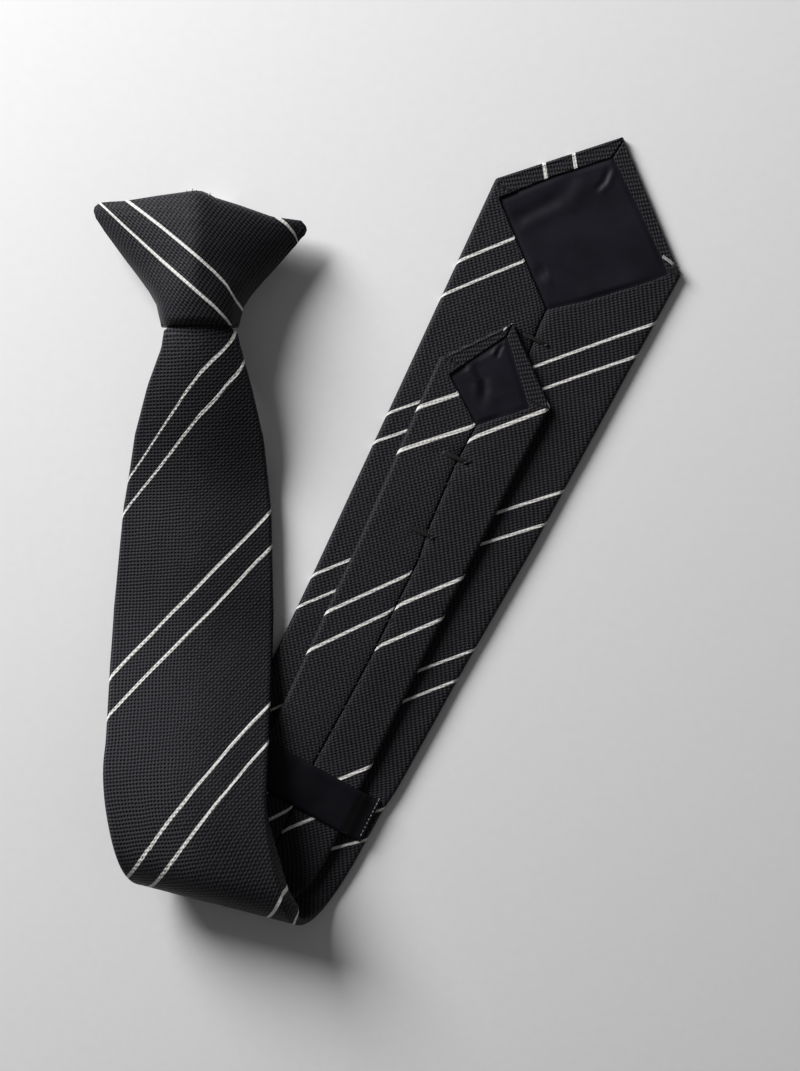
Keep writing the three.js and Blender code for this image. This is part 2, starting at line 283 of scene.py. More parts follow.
# Shader nodes, one small helper for each kind that repeats
class Nodes:
    def __init__(self, name):
        self.material = bpy.data.materials.new(name)
        self.material.use_nodes = True
        self.tree = self.material.node_tree
        self.tree.nodes.clear()
        self.out = self.tree.nodes.new("ShaderNodeOutputMaterial")
        self.shader = self.tree.nodes.new("ShaderNodeBsdfPrincipled")
        self.tree.links.new(self.shader.outputs[0], self.out.inputs["Surface"])

    def put(self, socket, value):
        if isinstance(value, bpy.types.NodeSocket):
            self.tree.links.new(value, socket)
        else:
            socket.default_value = value

    def math(self, operation, a, b=0.0, c=0.0):
        node = self.tree.nodes.new("ShaderNodeMath")
        node.operation = operation
        for socket, value in zip(node.inputs, (a, b, c)):
            self.put(socket, value)
        return node.outputs[0]

    def uv(self, layer):
        node = self.tree.nodes.new("ShaderNodeUVMap")
        node.uv_map = layer
        split = self.tree.nodes.new("ShaderNodeSeparateXYZ")
        self.tree.links.new(node.outputs[0], split.inputs[0])
        return node.outputs[0], split.outputs[0], split.outputs[1]

    def noise(self, vector, scale, detail=3.0, rough=0.5):
        node = self.tree.nodes.new("ShaderNodeTexNoise")
        self.put(node.inputs["Vector"], vector)
        node.inputs["Scale"].default_value = scale
        node.inputs["Detail"].default_value = detail
        node.inputs["Roughness"].default_value = rough
        return node.outputs[0]

    def place(self, vector, scale, turn=0.0):
        node = self.tree.nodes.new("ShaderNodeMapping")
        self.put(node.inputs["Vector"], vector)
        node.inputs["Scale"].default_value = scale
        node.inputs["Rotation"].default_value = (0, 0, turn)
        return node.outputs[0]

    def ramp(self, value, low, high, to_low=0.0, to_high=1.0):
        node = self.tree.nodes.new("ShaderNodeMapRange")
        node.interpolation_type = "SMOOTHSTEP"
        for socket, v in zip(node.inputs, (value, low, high, to_low, to_high)):
            self.put(socket, v)
        return node.outputs[0]

    def mix(self, share, a, b):
        node = self.tree.nodes.new("ShaderNodeMix")
        node.data_type = "RGBA"
        self.put(node.inputs[0], share)
        for socket, value in ((node.inputs[6], a), (node.inputs[7], b)):
            self.put(socket, value)
        return node.outputs[2]

    def bump(self, height, distance, strength=1.0, normal=None):
        node = self.tree.nodes.new("ShaderNodeBump")
        node.inputs["Strength"].default_value = strength
        node.inputs["Distance"].default_value = distance
        self.put(node.inputs["Height"], height)
        if normal is not None:
            self.put(node.inputs["Normal"], normal)
        return node.outputs[0]

    def wave(self, value, pitch, phase=0.0):
        """0 to 1 and back once in each pitch."""
        turned = self.math("MULTIPLY_ADD", value, 2 * math.pi / pitch, phase)
        return self.math("MULTIPLY_ADD", self.math("COSINE", turned), 0.5, 0.5)


def colour(red, green, blue):
    return (red, green, blue, 1.0)


# The stripes' repeat: two bands in each, as shares of the repeat
STRIPE_SECOND = 0.194
STRIPE_HALF = 0.0116
STRIPE_SOFT = 0.002
WEAVE_PITCH = 1.16
WEAVE_LEAN = 0.09
FLOAT_PITCH, FINE_PITCH, STRIPE_THREAD_PITCH = 1.64, 0.82, 0.62


def striped_cloth():
    """Black dobby weave with pairs of off-white stripes; the weave's pits are painted dark as shade and its
    floats lighter as highlight. The cloth layer holds millimetres / 100.
    """
    n = Nodes("striped_cloth")
    uv, across, along = n.uv("cloth")
    mm_x = n.math("MULTIPLY", across, 100.0)
    mm_y = n.math("MULTIPLY", along, 100.0)
    wander = n.noise(n.place(uv, (11, 11, 11)), 1.0, 2.0)
    shift = n.math("MULTIPLY_ADD", wander, 0.9, -0.45)
    weave_x = n.math("ADD", mm_x, shift)
    weave_y = n.math("ADD", n.math("MULTIPLY_ADD", mm_x, WEAVE_LEAN, mm_y), shift)
    # Rows of small pits between the floats, nearly square to the blade
    rows = n.wave(weave_y, WEAVE_PITCH)
    pits = n.math("MULTIPLY", n.wave(weave_x, WEAVE_PITCH), rows)
    # Floats set off from row to row
    half_turn = math.pi / (0.72 * WEAVE_PITCH)
    slanted = n.math("MULTIPLY_ADD", weave_y, 0.35, weave_x)
    turned_x = n.math("COSINE", n.math("MULTIPLY", slanted, half_turn))
    turned_y = n.math("COSINE", n.math("MULTIPLY", weave_y, half_turn))
    scales = n.math("MULTIPLY_ADD", n.math("MULTIPLY", turned_x, turned_y), 0.5, 0.5)
    # Threads square to the stripes, and the finer ones that cross them
    diagonal = n.math("ADD", weave_x, weave_y)
    crossing = n.math("SUBTRACT", weave_x, weave_y)
    floats = n.wave(diagonal, FLOAT_PITCH)
    fine = n.wave(crossing, FINE_PITCH)
    # Pits show most on one side of the cloth and the diagonal floats on the other
    side = n.ramp(n.math("ADD", mm_x, n.math("MULTIPLY", wander, 16.0)), 22.0, -6.0)
    hatch = n.math("MULTIPLY_ADD", floats, 0.5, n.math("MULTIPLY", fine, 0.3))
    dotted = n.math("SUBTRACT", 0.8, n.math("MULTIPLY_ADD", pits, 0.85, n.math("MULTIPLY", rows, 0.2)))
    weave = n.math("ADD", n.math("MULTIPLY", dotted, n.math("MULTIPLY_ADD", side, 0.6, 0.4)),
                   n.math("MULTIPLY", hatch, n.math("MULTIPLY_ADD", side, -0.4, 0.6)))
    _, scaly, _ = n.uv("weave")
    both = n.math("MULTIPLY_ADD", scales, 0.9, n.math("MULTIPLY", fine, 0.12))
    plain_share = n.math("MULTIPLY", weave, n.math("SUBTRACT", 1.0, scaly))
    weave = n.math("ADD", plain_share, n.math("MULTIPLY", both, scaly))
    # Stripes from the repeat's own layer
    _, repeat, edge_wear = n.uv("stripe")
    wavy = n.noise(n.place(uv, (90, 90, 90)), 1.0, 2.0)
    repeat = n.math("MULTIPLY_ADD", n.math("SUBTRACT", wavy, 0.5), 0.002, repeat)
    bands = []
    for centre in (0.0, STRIPE_SECOND):
        place = n.math("FRACT", n.math("ADD", repeat, 0.5 - centre))
        off = n.math("ABSOLUTE", n.math("SUBTRACT", place, 0.5))
        bands.append(n.ramp(off, STRIPE_HALF + STRIPE_SOFT, STRIPE_HALF - STRIPE_SOFT))
    stripe = n.math("MAXIMUM", *bands)
    # Colour, with painted shade in the weave's pits and painted highlight on its floats
    tone = n.noise(n.place(uv, (5, 5, 5)), 1.0, 4.0)
    yarn = n.noise(n.place(uv, (160, 160, 160)), 1.0, 2.0)
    # Painted shade and highlight: the weave's pits are painted near black and its floats lighter, though the
    # ground yarn is all one black
    painted_weave_light = n.ramp(weave, 0.22, 0.85)
    ground = n.mix(painted_weave_light, colour(0.0008, 0.0008, 0.0012), colour(0.036, 0.035, 0.041))
    ground = n.mix(n.math("MULTIPLY", n.ramp(tone, 0.35, 0.75), 0.2), ground, colour(0.02, 0.0194, 0.0235))
    threads = n.wave(crossing, STRIPE_THREAD_PITCH)
    white = n.mix(threads, colour(0.52, 0.51, 0.49), colour(0.86, 0.85, 0.82))
    white = n.mix(n.math("MULTIPLY", n.ramp(yarn, 0.3, 0.7), 0.3), white, colour(0.62, 0.61, 0.6))
    base = n.mix(stripe, ground, white)
    worn = n.math("MULTIPLY", edge_wear, n.ramp(yarn, 0.35, 0.8))
    base = n.mix(n.math("MULTIPLY", worn, 0.2), base, colour(0.05, 0.049, 0.053))
    n.put(n.shader.inputs["Base Color"], base)
    n.put(n.shader.inputs["Roughness"], n.math("MULTIPLY_ADD", yarn, 0.2, 0.42))
    n.shader.inputs["Specular IOR Level"].default_value = 0.1
    n.shader.inputs["Sheen Weight"].default_value = 0.02
    n.shader.inputs["Sheen Roughness"].default_value = 0.45
    raised = n.math("MULTIPLY_ADD", stripe, 0.35, weave)
    raised = n.math("MULTIPLY_ADD", threads, n.math("MULTIPLY", stripe, 0.3), raised)
    slub = n.bump(n.noise(n.place(uv, (26, 26, 26)), 1.0, 4.0), 0.35 * MM, 0.5)
    n.put(n.shader.inputs["Normal"], n.bump(raised, 0.26 * MM, 1.0, slub))
    return n.material


def satin(name, dark, light, rough, line_pitch):
    """A smooth satin with faint lines of warp and soft mottling."""
    n = Nodes(name)
    uv, across, along = n.uv("cloth")
    mm_x = n.math("MULTIPLY", across, 100.0)
    mm_y = n.math("MULTIPLY", along, 100.0)
    warp = n.wave(mm_x, line_pitch)
    weft = n.wave(mm_y, line_pitch * 2.4)
    tone = n.noise(n.place(uv, (6, 9, 6)), 1.0, 4.0)
    yarn = n.noise(n.place(uv, (240, 40, 240)), 1.0, 2.0)
    base = n.mix(n.ramp(tone, 0.3, 0.72), dark, light)
    base = n.mix(n.math("MULTIPLY", yarn, 0.25), base, dark)
    n.put(n.shader.inputs["Base Color"], base)
    n.put(n.shader.inputs["Roughness"], n.math("MULTIPLY_ADD", yarn, 0.16, rough))
    n.shader.inputs["Specular IOR Level"].default_value = 0.14
    n.shader.inputs["Sheen Weight"].default_value = 0.04
    n.shader.inputs["Sheen Roughness"].default_value = 0.35
    lines = n.math("MULTIPLY_ADD", warp, 0.6, n.math("MULTIPLY", weft, 0.25))
    soft = n.bump(n.noise(n.place(uv, (9, 9, 9)), 1.0, 3.0), 0.5 * MM, 0.4)
    n.put(n.shader.inputs["Normal"], n.bump(lines, 0.03 * MM, 0.5, soft))
    return n.material


def thread(name, dark, light):
    """Twisted sewing thread, its twist from the object's own place."""
    n = Nodes(name)
    coords = n.tree.nodes.new("ShaderNodeTexCoord").outputs["Object"]
    twist = n.noise(n.place(coords, (1 / MM, 1 / MM, 1 / MM)), 3.0, 2.0)
    n.put(n.shader.inputs["Base Color"], n.mix(twist, dark, light))
    n.shader.inputs["Roughness"].default_value = 0.6
    n.put(n.shader.inputs["Normal"], n.bump(twist, 0.08 * MM, 0.7))
    return n.material


def clip_metal():
    """Bright plate with fine drawn lines and a little dulling."""
    n = Nodes("clip_metal")
    coords = n.tree.nodes.new("ShaderNodeTexCoord").outputs["Object"]
    drawn = n.noise(n.place(coords, (9000, 120, 9000)), 1.0, 3.0)
    dull = n.noise(n.place(coords, (160, 160, 160)), 1.0, 4.0)
    n.put(n.shader.inputs["Base Color"], n.mix(dull, colour(0.42, 0.42, 0.43), colour(0.6, 0.6, 0.6)))
    n.put(n.shader.inputs["Roughness"], n.math("MULTIPLY_ADD", dull, 0.2, 0.24))
    n.shader.inputs["Metallic"].default_value = 1.0
    n.put(n.shader.inputs["Normal"], n.bump(drawn, 0.02 * MM, 0.3))
    return n.material


def floor_paper():
    """A plain pale surface with the faintest grain."""
    n = Nodes("floor_paper")
    coords = n.tree.nodes.new("ShaderNodeTexCoord").outputs["Object"]
    grain = n.noise(n.place(coords, (300, 300, 300)), 1.0, 4.0)
    n.put(n.shader.inputs["Base Color"], n.mix(grain, colour(0.76, 0.76, 0.765), colour(0.8, 0.8, 0.805)))
    n.shader.inputs["Roughness"].default_value = 0.85
    n.put(n.shader.inputs["Normal"], n.bump(grain, 0.1 * MM, 0.2))
    return n.material


CLOTH = striped_cloth()
LINING = satin("satin_lining", colour(0.0062, 0.006, 0.0098), colour(0.0105, 0.0102, 0.0155), 0.4, 0.24)
RIBBON = satin("satin_ribbon", colour(0.004, 0.004, 0.006), colour(0.009, 0.009, 0.012), 0.3, 0.3)
THREAD = thread("dark_thread", colour(0.0008, 0.0008, 0.001), colour(0.005, 0.0048, 0.006))
PALE_THREAD = thread("pale_thread", colour(0.2, 0.195, 0.19), colour(0.6, 0.59, 0.57))

# Where the bands cross a blade, along the cloth: the band's count, then the crossings. The columns are
# the inner end of the left flap, the left edge, seven places on the face, the right edge, the right flap.
BAND_COLUMNS = (-2, -1, -0.75, -0.5, -0.25, 0, 0.25, 0.5, 0.75, 1, 2)
WIDE_BANDS = [
    (0, (100, 54.5, 43, 31.7, 22.4, 15.7, 11.4, 8.1, 4.5, 1, -33)),
    (0.194, (112, 67, 56, 46.4, 37.5, 29.8, 24.6, 19.1, 15, 10, -21)),
    (1, (160, 124.3, 115.8, 107.8, 99.2, 91.4, 83.5, 76.3, 69.2, 61.8, 30)),
    (1.194, (172, 137.3, 129.1, 121, 113, 104.8, 96.8, 88.8, 80.9, 74.1, 43)),
    (2, (222, 188.7, 183, 177.2, 170.3, 163.4, 154.9, 145.5, 137.1, 129.2, 97)),
    (2.194, (234, 197.2, 191.8, 186.1, 180.6, 174.3, 167.6, 160, 150.5, 142.2, 109)),
    (3, (286, 250, 244, 238, 229.5, 221, 213, 205, 197.8, 190.5, 160)),
    (4, (341.6, 305.7, 297.9, 290, 282.5, 275, 267.5, 260, 253, 246, 221)),
    (5, (403, 369.5, 362.2, 355, 347.5, 340, 332.5, 325, 317.6, 310.3, 275)),
    (6, (466, 425.6, 418.8, 412, 405.5, 399, 392.5, 386, 379.3, 372.6, 340)),
    (7, (532, 493, 486.5, 480, 473.5, 467, 460, 453, 446.2, 439.4, 402.3)),
]
NARROW_BANDS = [
    (0, (243, 219, 215, 211, 207, 203, 199, 195, 190.5, 186, 164)),
    (1, (317.5, 293.8, 288.9, 284, 279.5, 275, 270.5, 266, 261.2, 256.5, 236)),
    (2, (390, 370.2, 364.6, 359, 353.5, 348, 343, 338, 332.6, 327.2, 305)),
    (3, (478, 455, 446.8, 438.5, 432, 425.5, 420.9, 416.3, 412.6, 409, 386.3)),
]


def repeats(s, t, bands):
    """The stripes' place: the whole part counts the bands, t goes across in the columns' terms."""
    crossings = [table(list(zip(BAND_COLUMNS, row)), t) for _, row in bands]
    place = np.zeros(np.shape(s))
    for k in range(len(bands) - 1):
        share = (s - crossings[k]) / (crossings[k + 1] - crossings[k])
        low = 0 if k else -np.inf
        high = 1 if k < len(bands) - 2 else np.inf
        place = place + np.clip(share, low, high) * (bands[k + 1][0] - bands[k][0])
    return place


# The inner ends of the flaps: the seam, the V, and the hems of the point that meet in a mitre
WIDE_SEAM = [(-12, 0), (300, 0.6), (422, 1.2), (432, 0), (438.8, -0.3)]
WIDE_LEFT_END = WIDE_SEAM + [(450.6, -14.4), (460.3, -25.8), (466, -32.5), (481.7, -18.6), (496.6, -3.6),
                             (506, -2.6)]
WIDE_RIGHT_END = WIDE_SEAM + [(448.1, 11.2), (463, 26.7), (469, 32), (472.8, 27.6), (484.3, 13.2),
                              (496.6, -3.6), (506, -2.6)]
NARROW_SEAM = [(-12, 0), (262, 0), (287, 1.4), (305, 2.1), (341, 2.5), (351, 1), (376, -0.2), (391.6, 0.6)]
NARROW_LEFT_END = NARROW_SEAM + [(402.9, -15.3), (423.9, -3.1), (431.7, -3.1)]
NARROW_RIGHT_END = NARROW_SEAM + [(405.2, 14.6), (423.9, -3.1), (431.7, -3.1)]

# Tacks press the flaps in: along the cloth, across it, depth, reach
WIDE_DENTS = [(428, 3.5, 0.4, 3.5), (425, -3, 0.3, 3.0)]
NARROW_DENTS = [(378, 1, 0.75, 3.2), (377, -7, 0.5, 3.2), (349.5, -1, 0.6, 3.4), (351, -9, 0.45, 3.0)]


def stations(vertex, corner, tip_end):
    """Places along a blade, close together where it bends and at its point."""
    runs = [(-TUCKED_IN, 0, 3), (0, 12, 8), (12, NECK_RUN, 20), (NECK_RUN, FOLD_AT - SLOPE_RUN, 10),
            (FOLD_AT - SLOPE_RUN, FOLD_AT, 34), (FOLD_AT, FOLD_END, 36), (FOLD_END, 260, 18),
            (260, vertex - 16, 44), (vertex - 16, corner - 0.1, 60), (corner + 0.1, tip_end, 46)]
    return np.concatenate([np.linspace(a, b, k, endpoint=False) for a, b, k in runs] + [[tip_end]])


def sleeve(name, sides_at, middle_at, below, bands, ends, dents, marks, seed):
    """One blade: face, rolled edges and two back flaps that meet at the seam, all one cloth."""
    vertex, corner, tip_end, mirror_left, mirror_right = marks
    s = stations(vertex, corner, tip_end)[:, None]
    left, right = sides_at(s)
    half = np.maximum(0.25, (left + right) / 2)
    offset = (right - left) / 2
    radius = np.minimum(THICK / 2, 0.5 * half)
    edge_wall = np.minimum(WALL, 0.4 * half)
    inner_radius = np.minimum(HOLLOW / 2, 0.25 * half)
    outer, inner = half - radius, half - edge_wall - inner_radius
    left_end = np.interp(s, *zip(*ends[0])) - offset - SEAM_GAP / 2
    right_end = np.interp(s, *zip(*ends[1])) - offset + SEAM_GAP / 2
    left_end = np.clip(left_end, -inner * 0.96, inner * 0.9)
    right_end = np.clip(right_end, left_end + 0.02, inner * 0.96)

    def turn(count):
        return np.linspace(-math.pi / 2, math.pi / 2, count)[None, :]

    def line(start, end, count):
        """From start to end, both ends left out."""
        share = (np.arange(count) + 1) / (count + 1)
        return start + (end - start) * share[None, :]

    parts = []

    def add(u, h, cloth_u, wear, side):
        u, h, cloth_u, wear, side = np.broadcast_arrays(u, h, cloth_u, wear, side)
        parts.append(np.stack([u, h, cloth_u, wear, side], axis=-1))

    zero = np.zeros_like(s)
    nose = np.minimum(WALL / 2, 0.2 * inner)
    arc = turn(11)
    edge_u = outer + radius * math.pi / 2
    rim = outer + math.pi * radius + outer

    def flap_height(u):
        """How far the flaps lie in from the back: hems lower, swelling cloth higher, tacks dented."""
        place = s + skew_at(s) * u
        hem = HEM_DROP * smooth((s - corner) / 0.6)
        reach = np.clip((half - 8) / 8, 0, 1)
        swell = 0.16 * ripple(u, place, seed + 5) * reach
        dip = 0.25 * np.exp(-np.abs(np.where(u < 0, left_end - u, u - right_end)) / 1.6)
        total = hem + swell + dip * (1 - smooth((s - vertex) / 6))
        for at, across, depth, size in dents:
            away = ((place - at) ** 2 + ((u + offset - across) * 0.8) ** 2) / size ** 2
            total = total + depth * np.exp(-away)
        return total

    def lower_edge(side):
        """Round the edge, from under the flap to the face."""
        sagged = smooth((s - 150) / 25) * (1 - smooth((s - 190) / 10)) * (side > 0) * (below == 0)
        bulge = np.clip(-np.sin(arc) + 0.4, 0, 1.4)
        u = side * (outer + radius * np.cos(arc) + sagged * SAG_OUT * bulge)
        return u, THICK / 2 + THICK / 2 * np.sin(arc) - sagged * SAG_DOWN * bulge

    flap_left = line(left_end - nose, -outer, 18)
    add(flap_left, flap_height(flap_left), -(rim + flap_left), 0.5 * (left_end - flap_left < 1.2), -1)
    u, h = lower_edge(-1)
    add(u, h + 0.5 * flap_height(u) * (h < THICK / 2), -(outer + radius * (math.pi / 2 - arc)), np.cos(arc),
        np.where(arc < 0, -1, 0))
    face = line(-outer, outer, 34)
    crown = FACE_CROWN * (1 - smooth((s - CROWN_FADES_FROM) / 45)) * (below == 0) * smooth((s - 10) / 60)
    domed = THICK + crown * (1 - np.abs(face / np.maximum(outer, 1)) ** 2.4) - 0.12
    add(face, domed, face, 0.0, 0)
    u, h = lower_edge(1)
    add(u[:, ::-1], (h + 0.5 * flap_height(u) * (h < THICK / 2))[:, ::-1],
        outer + radius * (math.pi / 2 - arc[:, ::-1]), np.cos(arc[:, ::-1]), np.where(arc[:, ::-1] < 0, 1, 0))
    flap_right = line(outer, right_end + nose, 18)
    add(flap_right, flap_height(flap_right), rim - flap_right, 0.5 * (flap_right - right_end < 1.2), 1)
    round_end = turn(5)
    add(right_end + nose * (1 - np.cos(round_end)), WALL / 2 + WALL / 2 * np.sin(round_end)
        + flap_height(right_end) * (round_end < 0.5), rim - right_end + 0.6 * np.cos(round_end), 0.5, 1)
    inside = line(right_end + nose, inner, 6)
    add(inside, WALL + HEM_DROP * 0.5, rim - inside * 0, 0.0, 1)
    arc_in = turn(7)
    add(inner + inner_radius * np.cos(arc_in), THICK / 2 + HOLLOW / 2 * np.sin(arc_in), rim, 0.0, 1)
    face_in = line(inner, -inner, 34)
    add(face_in, THICK - WALL, rim, 0.0, 0)
    add(-(inner + inner_radius * np.cos(arc_in[:, ::-1])), THICK / 2 + HOLLOW / 2 * np.sin(arc_in[:, ::-1]),
        -rim, 0.0, -1)
    inside = line(-inner, left_end - nose, 6)
    add(inside, WALL + HEM_DROP * 0.5, -rim, 0.0, -1)
    add(left_end - nose * (1 - np.cos(round_end[:, ::-1])), WALL / 2 + WALL / 2 * np.sin(round_end[:, ::-1])
        + flap_height(left_end) * (round_end[:, ::-1] < 0.5),
        -(rim + left_end) - 0.6 * np.cos(round_end[:, ::-1]), 0.5, -1)
    loop = np.concatenate(parts, axis=1)
    u, h, cloth_u, wear, side = (loop[..., k] for k in range(5))
    u = u + offset
    whole = u + middle_at(s)
    place = s + skew_at(s) * whole
    uneven = 0.12 * ripple(cloth_u, place, seed) * np.clip((half - 8) / 12, 0, 1)
    lift = np.where(h > THICK / 2, uneven * (s < FOLD_END), 0)
    points = on_tie(place, whole, h - below + lift).reshape(-1, 3)
    across = np.where(np.abs(cloth_u) < edge_u, cloth_u / edge_u,
                      np.sign(cloth_u) * (1 + (np.abs(cloth_u) - edge_u) / half))
    # In the point, the hems are the face's cloth turned in over the slanting edges
    hem = (s > corner) & (side != 0)
    along_hem = np.where(side < 0, mirror_left + u, mirror_right - u)
    across_hem = np.where(side < 0, s - mirror_left, mirror_right - s)
    widest = sides_at(np.float64(corner - 1))[0]
    reach_s = np.where(hem, along_hem, place)
    reach_t = np.where(hem, across_hem / widest, np.where(s > corner, cloth_u / widest, across))
    stripe = repeats(reach_s, reach_t, bands)
    weave_u = np.where(hem, across_hem, cloth_u)
    layers = {
        "cloth": np.stack([weave_u, reach_s], axis=-1).reshape(-1, 2) / 100,
        "stripe": np.stack([stripe, wear + zero], axis=-1).reshape(-1, 2),
        "weave": np.stack([0.75 * np.abs(side), zero + 0 * side], axis=-1).reshape(-1, 2),
    }
    piece = made(name, points, ring_faces(len(s), loop.shape[1], close_ends=False), CLOTH, layers)
    close_ends(piece, len(s), loop.shape[1])
    return face_outward(piece)


def close_ends(piece, rings, count):
    """One flat face across each end ring."""
    bm = bmesh.new()
    bm.from_mesh(piece.data)
    bm.verts.ensure_lookup_table()
    for start in (0, (rings - 1) * count):
        ring = [bm.verts[start + j] for j in range(count)]
        bm.faces.new(ring if start else ring[::-1])
    bmesh.ops.recalc_face_normals(bm, faces=bm.faces)
    bm.to_mesh(piece.data)
    bm.free()


def crease(u, s, path, width, depth):
    """A soft fold along a path of (along, across) points: a dip with a ridge to its right."""
    nearest = np.full(u.shape, 1e9)
    signed = np.zeros(u.shape)
    share = np.zeros(u.shape)
    count = len(path) - 1
    for k in range(count):
        (s0, u0), (s1, u1) = path[k], path[k + 1]
        run = math.hypot(s1 - s0, u1 - u0)
        ds, du = (s1 - s0) / run, (u1 - u0) / run
        t = np.clip((s - s0) * ds + (u - u0) * du, 0, run)
        off_s, off_u = s - s0 - t * ds, u - u0 - t * du
        away = np.hypot(off_s, off_u)
        closer = away < nearest
        nearest = np.where(closer, away, nearest)
        signed = np.where(closer, away * np.sign(off_u * ds - off_s * du), signed)
        share = np.where(closer, (k + t / run) / count, share)
    fade = smooth(share / 0.3) * smooth((1 - share) / 0.3)
    wide = 1.5 * width
    dip = np.exp(-(signed / wide) ** 2)
    ridge = 0.6 * np.exp(-((signed - 1.7 * wide) / wide) ** 2)
    return depth * fade * (ridge - dip)


# Creases of the two linings: the path as (along, across), the width, the depth
WIDE_CREASES = [([(459, -26.2), (468.1, -19.6), (477, -13.5)], 1.5, 0.4),
                ([(470, -17), (478, -13.6), (488.5, -12.6)], 1.9, 0.3),
                ([(483, -4.2), (487.8, -2.5), (494.3, -3.1)], 0.75, 0.42),
                ([(446.5, -9), (449.6, -7.9), (452, -6)], 1.6, 0.4),
                ([(446, 4), (456, 17), (465, 28)], 2.4, -0.3)]
NARROW_CREASES = [([(411.7, -10.4), (409.4, -7.7), (407.2, -3.9), (403.9, -2.0), (398, -0.4)], 1.1, 0.62),
                  ([(421.6, -3.1), (418.5, -3.4), (415.0, -2.9)], 0.6, 0.4),
                  ([(404, 3), (400, 7), (399, 10)], 2.0, 0.25)]


def lining(name, sides_at, middle_at, below, ends, marks, creases, seed):
    """The satin sheet inside a point, tucked under the flaps and the hems all round."""
    vertex, corner, tip_end = marks[:3]
    s = np.linspace(vertex - 7, tip_end - 5, 110)[:, None]
    left, right = sides_at(s)
    left_end = np.interp(s, *zip(*ends[0]))
    right_end = np.interp(s, *zip(*ends[1]))
    low = np.maximum(left_end - 4.5, -left + 2.2)
    high = np.minimum(right_end + 4.5, right - 2.2)
    share = np.linspace(0, 1, 90)[None, :]
    u = low + np.maximum(high - low, 0.2) * share
    inside = np.minimum(u - left_end, right_end - u)
    opened = smooth(inside / 3.0)
    base = WALL + 0.12
    relief = 0.1 * ripple(u, s, seed)
    for path, width, depth in creases:
        relief = relief + crease(u, s + 0 * u, path, width, depth)
    deepest = HOLLOW * 0.6
    top = base - opened * np.clip(0.3 + relief, -deepest, 0.8)
    upper = on_tie(s, u + middle_at(s), top - below)
    lower = on_tie(s, u + middle_at(s), np.maximum(top, base) + 0.18 - below)
    rows, columns = u.shape
    points = np.concatenate([upper.reshape(-1, 3), lower.reshape(-1, 3)])
    flat = np.stack(np.broadcast_arrays(u, s), axis=-1).reshape(-1, 2) / 100
    piece = made(name, points, sheet_faces(rows, columns), LINING, {"cloth": np.concatenate([flat, flat])})
    return face_outward(piece)


def sheet_faces(rows, columns):
    """Two grids of points, one over the other, joined round their rim."""
    grid = np.arange(rows * columns).reshape(rows, columns)
    under = rows * columns
    faces = []
    for i in range(rows - 1):
        for j in range(columns - 1):
            a, b, c, d = grid[i, j], grid[i, j + 1], grid[i + 1, j + 1], grid[i + 1, j]
            faces.append((a, b, c, d))
            faces.append((a + under, d + under, c + under, b + under))
    rim = np.concatenate([grid[0, :], grid[1:, -1], grid[-1, -2::-1], grid[-2:0:-1, 0]])
    for a, b in zip(rim, np.roll(rim, -1)):
        faces.append((a, a + under, b + under, b))
    return faces


def keeper():
    """The satin ribbon, which steps over the narrow blade and is sewn down at both ends."""
    end = wide_half(KEEPER_AT) - KEEPER_INSET
    shoulder = narrow_half(KEEPER_AT) - KEEPER_SHOULDER
    foot = shoulder + KEEPER_SPREAD
    low, high = CLEAR, PITCH + CLEAR
    slant = math.hypot(KEEPER_SPREAD, high - low)
    mitre = KEEPER_THICK * (slant - KEEPER_SPREAD) / (high - low)
    x = np.concatenate([np.linspace(-end, -foot - 2, 8), np.linspace(-foot - 1.6, -shoulder + 1.6, 16),
                        np.linspace(-shoulder + 2, shoulder - 2, 24),
                        np.linspace(shoulder - 1.6, foot + 1.6, 16),
                        np.linspace(foot + 2, end, 8)])
    under = low + (high - low) * smooth_step(np.abs(x), foot, shoulder)
    over = low + KEEPER_THICK + (high - low) * smooth_step(np.abs(x), foot + mitre, shoulder + mitre)
    across = np.linspace(-1, 1, 17)
    edge = np.clip((1 - np.abs(across)) / 0.08, 0, 1)
    s = KEEPER_AT + across[None, :] * KEEPER_WIDTH / 2 - x[:, None] * math.tan(KEEPER_SLANT)
    u = x[:, None] + narrow_middle(KEEPER_AT) + 0 * s
    drape = 0.25 * ripple(u, s * 0.6, 5) * smooth_step(np.abs(x), end, end - 4)[:, None]
    thin = KEEPER_THICK * 0.5 * (1 - np.sqrt(edge))
    top = over[:, None] - thin[None, :] + np.clip(drape, -0.2, 0.4) + 0.1 * (1 - across[None, :] ** 2)
    bottom = under[:, None] + thin[None, :] * 0.6 + 0 * s
    upper, lower = on_tie(s, u, -top), on_tie(s, u, -bottom)
    rows, columns = s.shape
    points = np.concatenate([upper.reshape(-1, 3), lower.reshape(-1, 3)])
    flat = np.stack([s, u], axis=-1).reshape(-1, 2) / 100
    layers = {"cloth": np.concatenate([flat, flat])}
    piece = made("keeper_ribbon", points, sheet_faces(rows, columns), RIBBON, layers)
    return face_outward(piece)


def smooth_step(x, low, high):
    """0 at low and 1 at high, whichever is larger."""
    return smooth((x - low) / (high - low))


# Knot sections: share of height, of the flare, of the side height on the left and the right, of the bulge
KNOT_SECTIONS = np.array([
    (0.0, 0.0, 0.77, 0.77, 0.0), (0.03, 0.012, 0.78, 0.77, 0.3), (0.08, 0.035, 0.78, 0.76, 0.5),
    (0.17, 0.073, 0.76, 0.7, 0.76), (0.28, 0.19, 0.66, 0.56, 0.92), (0.42, 0.374, 0.56, 0.42, 1.0),
    (0.61, 0.628, 0.47, 0.3, 0.9), (0.77, 0.841, 0.43, 0.24, 0.6), (0.88, 0.965, 0.41, 0.22, 0.22),
    (0.94, 0.998, 0.4, 0.22, -0.1), (0.975, 0.985, 0.39, 0.22, -0.5), (1.0, 0.92, 0.37, 0.22, -1.2)])


